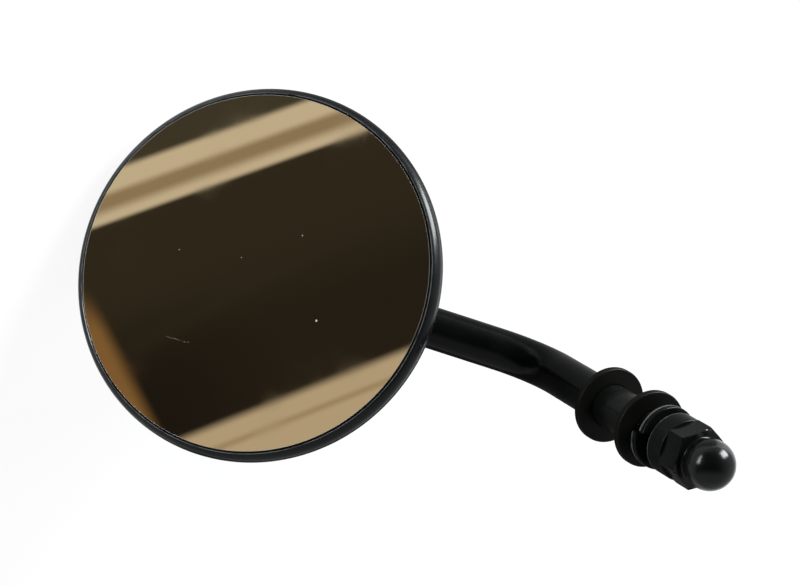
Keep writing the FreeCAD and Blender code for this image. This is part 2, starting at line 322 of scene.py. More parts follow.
@dataclass(frozen=True)
class CoatFinish:
    """Black coat on metal: peel, patchy sheen, dust, lighter edges of wear and painted highlight; metres."""

    name: str
    colour: Colour = (0.0015, 0.0018, 0.0018)
    roughness: float = 0.22
    index: float = 1.36
    patch_size: float = 14.0 * MM
    patch_edges: Point = (0.35, 0.7)
    patch_gain: float = 1.5
    patch_sheen: float = 0.1
    peel_size: float = 0.7 * MM
    peel_height: float = 0.004 * MM
    grain_size: float = 0.12 * MM
    grain_height: float = 0.0015 * MM
    grain_sheen: float = 0.06
    dust_colour: Colour = (0.10, 0.095, 0.085)
    dust_spacing: float = 1.3 * MM
    dust_share: float = 0.008
    dust_radius: float = 0.16
    dust_cover: float = 0.6
    dust_rough: float = 0.4
    axes: Matrix = field(default_factory=lambda: Matrix.Identity(4))
    worn_and_highlit: tuple[EdgeWearAndHighlight, ...] = ()
    wear_and_highlight_colour: Colour = (0.060, 0.062, 0.063)
    wear_and_highlight_size: float = 4.0 * MM
    wear_and_highlight_edges: Point = (0.25, 0.6)

    def wear_and_highlight(self, graph: Graph, place: Wire, colour: Wire) -> Wire:
        """Lighten a colour along the edges, as worn paint and painted highlights.

        Args:
            graph: the material's graph.
            place: place on the piece, metres.
            colour: the coating's colour.

        Returns:
            The colour with its lighter edges.
        """
        side, top, height = (graph.along(place, self.axes.translation, self.axes.col[index].to_3d()) / MM
                             for index in range(3))
        reach = side.hypot(top)
        turn = top.math("ARCTAN2", side).math("FLOORED_MODULO", math.tau) / math.tau
        uneven = graph.noise(place, self.wear_and_highlight_size).step(*self.wear_and_highlight_edges)
        for edge in self.worn_and_highlit:
            colour = graph.blend(edge.mask(reach, height, turn) * uneven, colour, self.wear_and_highlight_colour)
        return colour

    def material(self) -> Material:
        """Build the coating.

        Returns:
            The material.
        """
        material, graph = new_graph(self.name)
        place = graph.coordinates()
        patch = graph.noise(place, self.patch_size, 3.0)
        peel = graph.noise(place, self.peel_size)
        grain = graph.noise(place, self.grain_size, 1.0)
        dust = graph.specks(place, self.dust_spacing, self.dust_share, self.dust_radius)
        lighter = tuple(channel * self.patch_gain for channel in self.colour)
        colour = graph.blend(patch.step(*self.patch_edges), self.colour, lighter)
        colour = graph.blend(dust * self.dust_cover, colour, self.dust_colour)
        # lighter edges: worn paint and painted highlights
        if self.worn_and_highlit:
            colour = self.wear_and_highlight(graph, place, colour)
        sheen = (patch - 0.5) * self.patch_sheen + (grain - 0.5) * self.grain_sheen
        rough = (sheen + self.roughness + dust * self.dust_rough).clamp()
        share = self.grain_height / self.peel_height
        normal = graph.bump(peel + grain * share, self.peel_height)
        graph.surface(Base_Color=colour, Roughness=rough, Normal=normal, IOR=self.index)
        return material


@dataclass(frozen=True)
class GrainFinish:
    """A patchy tone over a fine grain, as it stands for nylon or foam; metres."""

    name: str
    colour: Colour
    roughness: float
    patch_size: float
    grain_size: float
    grain_height: float
    metal: float = 0.0
    index: float = 1.5
    tones: Point = (0.75, 1.0)
    patch_detail: float = 3.0
    patch_edges: Point = (0.35, 0.7)
    patch_rough: float = 0.0
    grain_detail: float = 3.0
    grain_rough: float = 0.2

    def material(self) -> Material:
        """Build the finish.

        Returns:
            The material.
        """
        material, graph = new_graph(self.name)
        place = graph.coordinates()
        patch = graph.noise(place, self.patch_size, self.patch_detail)
        grain = graph.noise(place, self.grain_size, self.grain_detail)
        first, second = (tuple(channel * tone for channel in self.colour) for tone in self.tones)
        colour = graph.blend(patch.step(*self.patch_edges), first, second)
        rough = self.roughness + (grain - 0.5) * self.grain_rough + (patch - 0.5) * self.patch_rough
        graph.surface(Base_Color=colour, Metallic=self.metal, Roughness=rough.clamp(), IOR=self.index,
                      Normal=graph.bump(grain, self.grain_height))
        return material


@dataclass(frozen=True)
class SteelFinish(GrainFinish):
    """Bare or plated steel: stains in its tone and fine marks of its making."""

    colour: Colour = (0.55, 0.55, 0.53)
    roughness: float = 0.32
    patch_size: float = 5.0 * MM
    grain_size: float = 0.15 * MM
    grain_height: float = 0.002 * MM
    metal: float = 1.0
    tones: Point = (1.0, 0.8)
    patch_rough: float = 0.15
    grain_detail: float = 2.0


@dataclass(frozen=True)
class RubberFinish(GrainFinish):
    """Matt black rubber with a fine skin and a paler bloom."""

    colour: Colour = (0.003, 0.003, 0.003)
    roughness: float = 0.7
    patch_size: float = 6.0 * MM
    grain_size: float = 0.2 * MM
    grain_height: float = 0.01 * MM
    index: float = 1.06
    tones: Point = (1.0, 2.0)
    patch_detail: float = 2.0
    patch_edges: Point = (0.4, 0.75)


@dataclass(frozen=True)
class MirrorFinish:
    """Silvered glass with faint smears, specks, one short scratch, and a dark edge band partly painted
    shade; millimetres.
    """

    name: str
    place: Matrix
    edge_radius: float
    colour: Colour = (0.86, 0.865, 0.855)
    roughness: float = 0.012
    index: float = 1.03
    smear: float = 0.03
    smear_size: float = 22.0
    smear_edges: Point = (0.45, 0.8)
    edge_and_gap_shade_colour: Colour = (0.0035, 0.0030, 0.0022)
    gap_shade_shift: float = -0.22
    edge_margin: float = 0.27
    edge_fade: float = 0.1
    edge_rough: float = 0.4
    dust_colour: Colour = (0.30, 0.28, 0.25)
    dust_core: float = 0.3
    specks: tuple[tuple[float, float, float, float], ...] = (
        (1.88, 22.41, 0.36, 0.62),
        (-14.97, 6.10, 0.28, 0.20),
        (-1.22, -5.04, 0.26, 0.12),
        (6.10, -21.28, 0.28, 0.09),
        (25.90, -5.55, 0.26, 0.12),
        (25.40, -4.60, 0.26, 0.09),
    )
    scratch_start: Point = (27.6, -11.4)
    scratch_end: Point = (25.9, -5.8)
    scratch_width: float = 0.2
    scratch_fade: float = 1.2
    scratch_strength: float = 0.06
    scratch_gaps: float = 0.8
    gap_edges: Point = (0.4, 0.6)

    def material(self) -> Material:
        """Build the silvered glass.

        Returns:
            The material.
        """
        material, graph = new_graph(self.name)
        place = graph.coordinates()
        side, top = (graph.along(place, self.place.translation, self.place.col[index].to_3d()) / MM
                     for index in range(2))
        # dark band at the rim: the glass's dark ground edge, widened as painted shade of the gap under the
        # lip, offset to be wider on one side
        rim = self.edge_radius - self.edge_margin
        edge = side.hypot(top - self.gap_shade_shift).step(rim - self.edge_fade, rim)
        dust = self.scratch(side, top) * graph.noise(place, self.scratch_gaps * MM).step(*self.gap_edges)
        for x, y, radius, strength in self.specks:
            across, down = side - x, top - y
            dust = dust + self.core(across * across + down * down, radius) * strength
        dust = dust.clamp()
        smear = graph.noise(place, self.smear_size * MM, 3.0).step(*self.smear_edges)
        colour = graph.blend(dust, self.colour, self.dust_colour)
        colour = graph.blend(edge, colour, self.edge_and_gap_shade_colour)
        rough = (smear * self.smear + self.roughness + edge * self.edge_rough).clamp()
        metal = (1.0 - dust - edge).clamp()
        graph.surface(Base_Color=colour, Metallic=metal, Roughness=rough, IOR=self.index)
        return material

    def core(self, square: Wire, size: float) -> Wire:
        """1 in the core of a mark of some size, 0 outside it, by the distance's square."""
        return square.fade((self.dust_core * size) ** 2, size ** 2)

    def scratch(self, side: Wire, top: Wire) -> Wire:
        """Draw the short scratch as a thin line with soft ends.

        Args:
            side: place across the glass, millimetres.
            top: place up the glass, millimetres.

        Returns:
            Its strength, 0 beside it.
        """
        run = Vector(self.scratch_end) - Vector(self.scratch_start)
        length = run.length
        run.normalize()
        across = side - self.scratch_start[0]
        down = top - self.scratch_start[1]
        ahead = across * run.x + down * run.y
        aside = across * run.y - down * run.x
        ends = ahead.band((0.0, self.scratch_fade), (length - self.scratch_fade, length))
        return self.core(aside * aside, self.scratch_width) * ends * self.scratch_strength


class Outline:
    """Radius-height outline of a turned piece, millimetres, with rounded corners."""

    ROUND_SPANS = 4

    def __init__(self) -> None:
        """Start an empty outline."""
        self.marks: list[tuple[float, ...]] = []

    def corners(self, *marks: tuple[float, ...]) -> Outline:
        """Add corners: the radius, the height and, where there is one, the rounding of each."""
        self.marks.extend((*mark, 0.0)[:3] for mark in marks)
        return self

    def arc(self, center: Point, size: float, start: float, end: float, spans: int,
            growth: float = 0.0) -> Outline:
        """Add a round stretch.

        Args:
            center: radius and height of the arc's centre.
            size: the arc's radius at its start.
            start: first angle from the outward direction, degrees.
            end: last angle.
            spans: number of spans.
            growth: what the radius gains by the arc's end.

        Returns:
            The outline itself.
        """
        for index in range(spans + 1):
            share = index / spans
            angle = math.radians(start + (end - start) * share)
            reach = size + growth * share
            self.corners((center[0] + reach * math.cos(angle), center[1] + reach * math.sin(angle)))
        return self

    def points(self, closed: bool) -> list[Point]:
        """The outline's points with its corners rounded.

        Args:
            closed: whether the last corner joins the first.

        Returns:
            Radius and height of each point.
        """
        found: list[Point] = []
        count = len(self.marks)
        for index, (radius, height, rounding) in enumerate(self.marks):
            inner = closed or 0 < index < count - 1
            if rounding <= 0 or not inner:
                found.append((radius, height))
                continue
            here = Vector((radius, height))
            before = (Vector(self.marks[index - 1][:2]) - here).normalized()
            after = (Vector(self.marks[(index + 1) % count][:2]) - here).normalized()
            half = before.angle(after) / 2
            center = here + (before + after).normalized() * (rounding / math.sin(half))
            start = here + before * (rounding / math.tan(half)) - center
            end = here + after * (rounding / math.tan(half)) - center
            first = math.atan2(start.y, start.x)
            sweep = (math.atan2(end.y, end.x) - first + math.pi) % math.tau - math.pi
            for step in range(self.ROUND_SPANS + 1):
                angle = first + sweep * step / self.ROUND_SPANS
                found.append((center.x + rounding * math.cos(angle), center.y + rounding * math.sin(angle)))
        return found


class Bench:
    """Modelling steps that the pieces share, each made with operators."""

    SMOOTH_ANGLE = math.radians(32)
    MERGE = 1e-7

    @staticmethod
    def deselect() -> None:
        """Leave edit mode and select nothing."""
        if bpy.context.object and bpy.context.object.mode != "OBJECT":
            bpy.ops.object.mode_set(mode="OBJECT")
        bpy.ops.object.select_all(action="DESELECT")

    @staticmethod
    def named(name: str) -> Piece:
        """Name the object that was just added."""
        bpy.context.object.name = name
        return bpy.context.object

    @classmethod
    def pick(cls, piece: Piece) -> None:
        """Select one piece alone and make it active.

        Args:
            piece: the piece.
        """
        cls.deselect()
        piece.select_set(True)
        bpy.context.view_layer.objects.active = piece

    @classmethod
    def place(cls, piece: Piece, matrix: Matrix) -> None:
        """Put a piece in its place, with the place in its mesh.

        Args:
            piece: a piece built about the vertical axis.
            matrix: its place.
        """
        cls.pick(piece)
        piece.matrix_world = matrix
        bpy.ops.object.transform_apply(location=True, rotation=True, scale=True)

    @classmethod
    def twin(cls, piece: Piece, name: str, matrix: Matrix) -> Piece:
        """Copy a piece, with a mesh of its own, to another place.

        Args:
            piece: the piece.
            name: the copy's name.
            matrix: the copy's place.

        Returns:
            The copy.
        """
        cls.pick(piece)
        bpy.ops.object.duplicate(linked=False)
        copy = cls.named(name)
        cls.place(copy, matrix)
        return copy

    @classmethod
    def apply(cls, piece: Piece, kind: str, settings: dict[str, Any]) -> None:
        """Add a modifier and apply it.

        Args:
            piece: the piece.
            kind: the modifier's type.
            settings: its properties.
        """
        cls.pick(piece)
        modifier = piece.modifiers.new(kind.title(), kind)
        for name, value in settings.items():
            setattr(modifier, name, value)
        bpy.ops.object.modifier_apply(modifier=modifier.name)

    @classmethod
    def combine(cls, piece: Piece, tool: Piece, way: Combine) -> None:
        """Combine a closed shape with another, which is used up."""
        cls.apply(piece, "BOOLEAN", {"operation": way.value, "object": tool, "solver": "EXACT"})
        bpy.data.objects.remove(tool)

    @classmethod
    def clean(cls, piece: Piece, angle: float = SMOOTH_ANGLE) -> Piece:
        """Merge doubles, turn the faces outwards and shade smooth up to an angle.

        Args:
            piece: the piece.
            angle: largest angle that is shaded smooth.

        Returns:
            The piece.
        """
        cls.pick(piece)
        bpy.ops.object.mode_set(mode="EDIT")
        bpy.ops.mesh.select_all(action="SELECT")
        bpy.ops.mesh.remove_doubles(threshold=cls.MERGE)
        bpy.ops.mesh.normals_make_consistent(inside=False)
        bpy.ops.object.mode_set(mode="OBJECT")
        bpy.ops.object.shade_smooth_by_angle(angle=angle)
        cls.apply(piece, "WEIGHTED_NORMAL", {"mode": "FACE_AREA", "weight": 50, "keep_sharp": True})
        return piece

    @classmethod
    def close(cls, piece: Piece) -> Piece:
        """Fill what is still open and clean the mesh.

        Args:
            piece: the piece.

        Returns:
            The piece.
        """
        cls.pick(piece)
        bpy.ops.object.mode_set(mode="EDIT")
        bpy.ops.mesh.select_all(action="SELECT")
        bpy.ops.mesh.remove_doubles(threshold=cls.MERGE)
        bpy.ops.mesh.select_all(action="SELECT")
        bpy.ops.mesh.fill_holes(sides=0)
        return cls.clean(piece)


class RingChain:
    """A body drawn from one ring: extruded, scaled and swung along its path."""

    def __init__(self, name: str, center: Vector, radius: float, along: Vector, sides: int) -> None:
        """Add the first ring, facing along the path.

        Args:
            name: the piece's name.
            center: ring centre, metres.
            radius: ring radius, metres.
            along: direction of the path, up or down.
            sides: number of sides.
        """
        Bench.deselect()
        bpy.ops.mesh.primitive_circle_add(vertices=sides, radius=radius, location=center)
        self.piece = Bench.named(name)
        bpy.ops.object.transform_apply(location=True)
        bpy.ops.object.mode_set(mode="EDIT")
        bpy.ops.mesh.select_mode(type="EDGE")
        bpy.ops.mesh.select_all(action="SELECT")
        self.center = center.copy()
        self.radius = radius
        self.along = along.copy()

    def to(self, distance: float, radius: float) -> None:
        """Extrude the ring along the path and scale it.

        Args:
            distance: way along the path, metres.
            radius: the new radius.
        """
        step = self.along * distance
        self.center += step
        bpy.ops.mesh.extrude_region_move(TRANSFORM_OT_translate={"value": step})
        share = radius / self.radius
        bpy.ops.transform.resize(value=(share, share, share), center_override=self.center)
        self.radius = radius

    def swing(self, toward: Vector, size: float, spans: int) -> None:
        """Spin the ring round a bend.

        Args:
            toward: direction after the bend.
            size: radius of the bend, metres.
            spans: number of spans.
        """
        angle = self.along.angle(toward)
        inward = (toward - self.along * self.along.dot(toward)).normalized()
        pivot = self.center + inward * size
        axis = toward.cross(self.along).normalized()
        bpy.ops.mesh.spin(steps=spans, angle=angle, center=pivot, axis=axis)
        self.center = pivot + Matrix.Rotation(-angle, 3, axis) @ (self.center - pivot)
        self.along = toward.copy()


def turned(name: str, outline: Outline, sides: int, closed: bool = True) -> Piece:
    """Turn an outline about the vertical axis.

    Args:
        name: the piece's name.
        outline: its outline.
        sides: number of sides.
        closed: whether the outline closes on itself, as in a ring.

    Returns:
        The piece.
    """
    first, *rest = outline.points(closed)
    if closed:
        rest.append(first)
    radius, height = first
    chain = RingChain(name, Vector((0, 0, height * MM)), radius * MM, Axis.UP.vector, sides)
    for radius, next_height in rest:
        chain.to((next_height - height) * MM, radius * MM)
        height = next_height
    return Bench.close(chain.piece)


def plain_ring(name: str, bore: float, low: Vector, high: Vector, edges: Point, sides: int) -> Piece:
    """Turn a plain ring that fills its solid's box.

    Args:
        name: the piece's name.
        bore: radius of its bore, millimetres.
        low: lower corner of the box, millimetres.
        high: upper corner of the box.
        edges: rounding of its inner and of its outer edges.
        sides: number of sides.

    Returns:
        The ring.
    """
    inner, outer = edges
    outline = Outline().corners((bore, low.z, inner), (high.x, low.z, outer),
                                (high.x, high.z, outer), (bore, high.z, inner))
    return turned(name, outline, sides)


def wound(name: str, width: float, thickness: float, crest: float, rounding: float,
          place: Point, rise: float, turns: float, spans: int) -> Piece:
    """Wind a four-sided section round the vertical axis, as a spring washer or a thread.

    Args:
        name: the piece's name.
        width: radial size of the section, millimetres.
        thickness: height of the section at its root.
        crest: height of the section at its outer edge.
        rounding: rounding of its corners.
        place: radius and height of the section's centre at the start.
        rise: climb over all turns.
        turns: number of turns.
        spans: spans in each whole turn.

    Returns:
        The piece.
    """
    Bench.deselect()
    middle = (place[0] * MM, 0, place[1] * MM)
    bpy.ops.mesh.primitive_plane_add(size=1, location=middle, rotation=(math.pi / 2, 0, 0))
    piece = Bench.named(name)
    piece.scale = (width * MM, thickness * MM, 1)
    bpy.ops.object.transform_apply(location=True, rotation=True, scale=True)
    for vertex in piece.data.vertices:
        vertex.select = vertex.co.x > middle[0]
    bpy.ops.object.mode_set(mode="EDIT")
    bpy.ops.mesh.select_mode(type="VERT")
    bpy.ops.transform.resize(value=(1, 1, crest / thickness), center_override=middle)
    bpy.ops.mesh.select_all(action="SELECT")
    bpy.ops.mesh.bevel(affect="VERTICES", offset=rounding * MM, segments=3)
    bpy.ops.mesh.select_all(action="SELECT")
    bpy.ops.mesh.delete(type="ONLY_FACE")
    bpy.ops.object.mode_set(mode="OBJECT")
    steps = max(2, round(spans * turns))
    Bench.apply(piece, "SCREW", {
        "angle": turns * math.tau, "screw_offset": rise * MM, "iterations": 1, "steps": steps,
        "render_steps": steps, "use_merge_vertices": False,
    })
    return Bench.close(piece)


def placed(center: Vector, side: Vector, top: Vector, normal: Vector) -> Matrix:
    """Matrix of a place from its centre and its three axes."""
    return Matrix.Translation(center) @ Matrix((side, top, normal)).transposed().to_4x4()


@dataclass(frozen=True)
class Layout:
    """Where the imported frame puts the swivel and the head."""

    ball: Vector
    normal: Vector

    @classmethod
    def read(cls, frame: dict[str, Any]) -> Layout:
        """Take the ball's centre and the glass normal from the head's spin joint."""
        spin = next(joint for joint in frame["joints"] if joint["name"] == "head_spin")
        return cls(Vector(spin["pos_m"]), Vector(spin["axis"]).normalized())

    def head(self, ball_depth: float) -> Matrix:
        """Place of the head's front edge, whose axis is the glass normal, in front of the ball."""
        side = Axis.UP.vector.cross(self.normal).normalized()
        return placed(self.ball + self.normal * ball_depth * MM, side, self.normal.cross(side), self.normal)


def dress(piece: Piece, finish: Any, body: str, slot: str, *nodes: str) -> None:
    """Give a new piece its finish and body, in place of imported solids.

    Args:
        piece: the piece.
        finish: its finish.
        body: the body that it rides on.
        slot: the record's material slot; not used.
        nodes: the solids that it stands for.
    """
    piece.data.materials.clear()
    piece.data.materials.append(finish.material())
    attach(piece, body)
    if nodes:
        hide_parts(*nodes)
    log.info("%s: %d faces on %s", piece.name, len(piece.data.polygons), body)


def redress(node: Piece, finish: Any) -> None:
    """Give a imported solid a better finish."""
    node.material_slots[0].material = finish.material()
    log.info("%s: new finish", node.name)


@dataclass
class MirrorHead:
    """Pressed shell with a rolled edge, rubber ring, silvered glass and its pad; millimetres, degrees."""

    layout: Layout
    outer_radius: float = 50.8
    sheet: float = 0.8
    rim_radius: float = 3.8
    rim_depth: float = 3.3
    rim_spans: int = 12
    side_radius: float = 10.0
    side_spans: int = 22
    side_lead: float = 4.0
    back: float = 16.83
    back_flat: float = 19.6
    back_spans: int = 14
    back_lead: float = 0.6
    hole_radius: float = 10.5
    hole_edge: float = 0.2
    ball_depth: float = 17.0
    lip_sheet: float = 0.3
    lip_rounding: float = 0.1
    lip_lead: float = 9.0
    lip_wear_and_highlight: float = 0.2
    glass_gap: float = 0.05
    glass_recess: float = 0.36
    glass_thickness: float = 3.5
    glass_edge: float = 0.08
    glass_rounding: float = 0.05
    glass_chamfer: float = 0.15
    glass_border: float = 2.0
    glass_smooth: float = 5.0
    ring_recess: float = 0.9
    ring_foot: float = 0.8
    ring_foot_reach: float = 1.4
    ring_clearance: float = 0.05
    ring_grip: float = 0.02
    ring_edge: float = 0.2
    sides: int = 192
    body: str = "head"

    @property
    def rim_center(self) -> Point:
        """Radius and height of the rolled edge's centre."""
        return self.outer_radius - self.rim_radius, -self.rim_depth

    @property
    def side_center(self) -> Point:
        """Radius and height of the round side's centre."""
        return self.outer_radius - self.side_radius, -self.rim_depth

    @property
    def edge_angle(self) -> float:
        """Angle of the rolled edge's cut, degrees."""
        return math.degrees(math.asin(self.rim_depth / self.rim_radius))

    def lip(self, size: float) -> float:
        """Radius of the cut of the rolled edge, for a sheet's face of some radius."""
        return self.rim_center[0] + size * math.cos(math.radians(self.edge_angle))

    @property
    def glass_radius(self) -> float:
        """Radius of the glass, a gap inside the rolled edge."""
        return self.lip(self.rim_radius - self.lip_sheet) - self.glass_gap

    def glass_face(self) -> Vector:
        """Centre of the glass's face, metres."""
        return self.layout.head(self.ball_depth) @ Vector((0, 0, -self.glass_recess * MM))

    def dome(self) -> tuple[float, float]:
        """Radius and centre height of the back's dome, which runs on smoothly from the side.

        Returns:
            Radius and centre height.
        """
        side = self.side_center[0]
        drop = self.back - self.rim_depth
        spread = self.side_radius ** 2 - side ** 2 + self.back_flat ** 2 - drop ** 2
        lead = drop ** 2 - self.side_radius ** 2
        rest = (drop * self.back_flat) ** 2 + spread ** 2 / 4
        root = math.sqrt((self.side_radius * spread) ** 2 + 4 * lead * rest)
        radius = (root - self.side_radius * spread) / (2 * lead)
        return radius, math.sqrt(radius ** 2 - self.back_flat ** 2) - self.back

    def build_shell(self) -> Piece:
        """Model the pressed shell: down its outside, through the hole and up its inside.

        Returns:
            The shell.
        """
        rim, side = self.rim_center, self.side_center
        radius, height = self.dome()
        dome = (0.0, height)
        floor = self.sheet - self.back
        side_end = math.degrees(math.asin(side[0] / (radius - self.side_radius))) - 90
        flat_end = math.degrees(math.asin(self.back_flat / radius)) - 90
        inner_radius = radius - self.sheet
        inner_flat = math.sqrt(inner_radius ** 2 - (height - floor) ** 2)
        inner_end = math.degrees(math.asin(inner_flat / inner_radius)) - 90
        front = rim[1] + self.rim_radius * math.sin(math.radians(self.edge_angle))
        outline = Outline().corners((self.lip(self.rim_radius), front, self.lip_rounding))
        outline.arc(rim, self.rim_radius, self.edge_angle - self.lip_lead, 0, self.rim_spans)
        outline.arc(side, self.side_radius, -self.side_lead, side_end, self.side_spans)
        outline.arc(dome, radius, side_end + self.back_lead, flat_end, self.back_spans)
        outline.corners((self.hole_radius, -self.back, self.hole_edge),
                        (self.hole_radius, floor, self.hole_edge), (inner_flat, floor))
        outline.arc(dome, inner_radius, inner_end - self.back_lead, side_end + self.back_lead,
                    self.back_spans - 1)
        outline.arc(side, self.side_radius - self.sheet, side_end, -self.side_lead, self.side_spans)
        outline.arc(rim, self.rim_radius - self.sheet, 0, self.edge_angle, self.rim_spans,
                    self.sheet - self.lip_sheet)
        return turned("head_shell", outline, self.sides)

    def build_ring(self) -> Piece:
        """Model the rubber ring that holds the glass.

        Returns:
            The ring.
        """
        rim = self.rim_center
        groove = self.rim_radius - self.sheet - self.ring_clearance
        wall = self.side_radius - self.sheet - self.ring_clearance
        low = -self.glass_recess - self.glass_thickness - self.ring_foot
        top = math.degrees(math.asin((self.rim_depth - self.ring_recess) / groove))
        bottom = math.degrees(math.asin((low + self.rim_depth) / wall))
        bore = self.glass_radius + self.ring_grip
        foot = self.glass_radius - self.ring_foot_reach
        outline = Outline().corners(
            (bore, -self.ring_recess, self.ring_edge),
            (rim[0] + groove * math.cos(math.radians(top)), -self.ring_recess, self.ring_edge))
        outline.arc(rim, groove, top - 10, 0, 8).arc(self.side_center, wall, -2, bottom, 4)
        outline.corners((foot, low, self.ring_edge), (foot, low + self.ring_foot, self.ring_edge),
                        (bore, low + self.ring_foot))
        return turned("glass_ring", outline, self.sides)

    def build_glass(self) -> Piece:
        """Model the glass with its ground edge.

        Returns:
            The glass.
        """
        radius = self.glass_radius
        front = -self.glass_recess
        back = front - self.glass_thickness
        outline = Outline().corners(
            (radius - self.glass_chamfer, back),
            (radius, back + self.glass_chamfer),
            (radius, front - self.glass_edge, self.glass_rounding),
            (radius - self.glass_edge, front, self.glass_rounding),
            (radius - self.glass_border, front))
        glass = turned("silvered_glass", outline, self.sides, closed=False)
        return Bench.clean(glass, math.radians(self.glass_smooth))

    def build(self, nodes: dict[str, Piece]) -> None:
        """Build, place and dress the head.

        Args:
            nodes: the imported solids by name.
        """
        matrix = self.layout.head(self.ball_depth)
        shell = self.build_shell()
        ring = self.build_ring()
        glass = self.build_glass()
        for piece in (shell, ring, glass):
            Bench.place(piece, matrix)
        # lighter line on the lip's cut edge: partly worn paint, partly a painted highlight
        worn_and_highlit = EdgeWearAndHighlight(self.lip(self.rim_radius), 0.0, self.lip_wear_and_highlight)
        coat = CoatFinish("shell_coat", (0.0024, 0.0028, 0.0030), 0.21, 1.22, axes=matrix, worn_and_highlit=(worn_and_highlit,))
        dress(shell, coat, self.body, "shell_black", "shell")
        dress(ring, RubberFinish("ring_rubber"), self.body, "gasket_rubber", "gasket")
        silvering = MirrorFinish("silvering", matrix, self.glass_radius - self.glass_edge)
        dress(glass, silvering, self.body, "mirror_glass", "glass")
        cell = 0.4 * MM
        foam = GrainFinish("pad_cells", (0.05, 0.05, 0.05), 0.85, cell, cell, 0.05 * MM)
        redress(nodes["backing_pad"], foam)


@dataclass
class BallSwivel:
    """Ball, socket and the pieces that press them together; millimetres."""

    layout: Layout
    ball_depth: float = 17.0
    bore: float = 8.8
    wall: float = 1.6
    mouth_angle: float = 45.0
    front: float = 4.6
    collar_wall: float = 2.4
    flange_radius: float = 19.0
    flange_thickness: float = 1.8
    flange_edge: float = 0.3
    setback: float = 0.97
    spans: int = 12
    sides: int = 96
    zinc: Colour = (0.60, 0.61, 0.62)

    def build_socket(self) -> Piece:
        """Model the turned socket: down its bore to the mouth, then up its outside and the flange.

        Returns:
            The socket.
        """
        center = (0.0, -self.ball_depth)
        outer = self.bore + self.wall
        collar = self.bore + self.collar_wall
        top = self.front - self.ball_depth
        seat = self.setback - self.ball_depth
        flange = seat + self.flange_thickness
        seat_angle = math.degrees(math.asin(self.setback / outer))
        mouth = self.mouth_angle - 90
        reach, drop = math.cos(math.radians(mouth)), math.sin(math.radians(mouth))
        outline = Outline().corners((self.bore, top, 0.2))
        outline.arc(center, self.bore, 0, mouth + 3, self.spans)
        outline.corners((self.bore * reach, center[1] + self.bore * drop, 0.25),
                        (outer * reach, center[1] + outer * drop, 0.4))
        outline.arc(center, outer, mouth + 5, seat_angle, self.spans)
        outline.corners((self.flange_radius, seat, self.flange_edge),
                        (self.flange_radius, flange, self.flange_edge),
                        (collar, flange), (collar, top, self.flange_edge))
        return turned("swivel_socket", outline, self.sides)

    def build(self, nodes: dict[str, Piece]) -> None:
        """Build, place and dress the swivel.

        Args:
            nodes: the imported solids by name.
        """
        socket = self.build_socket()
        Bench.place(socket, self.layout.head(self.ball_depth))
        dress(socket, CoatFinish("socket_coat", roughness=0.33), "head", "socket_black", "ball_socket")
        cell = 1.2 * MM
        finishes = {
            "ball": SteelFinish("ball_ground", (0.45, 0.45, 0.45), 0.22),
            "seat_liner": GrainFinish("liner_nylon", (0.70, 0.68, 0.60), 0.5, cell, cell, 0.01 * MM),
            "pressure_cup": SteelFinish("cup_turned"),
            "disc_spring": SteelFinish("spring_blued", (0.20, 0.20, 0.24), 0.3),
            "spring_plate": SteelFinish("plate_zinc", self.zinc, 0.38),
            "plate_posts": SteelFinish("post_zinc", self.zinc, 0.38),
            "plate_screws": SteelFinish("screw_zinc", self.zinc, 0.33),
        }
        for name, finish in finishes.items():
            redress(nodes[name], finish)


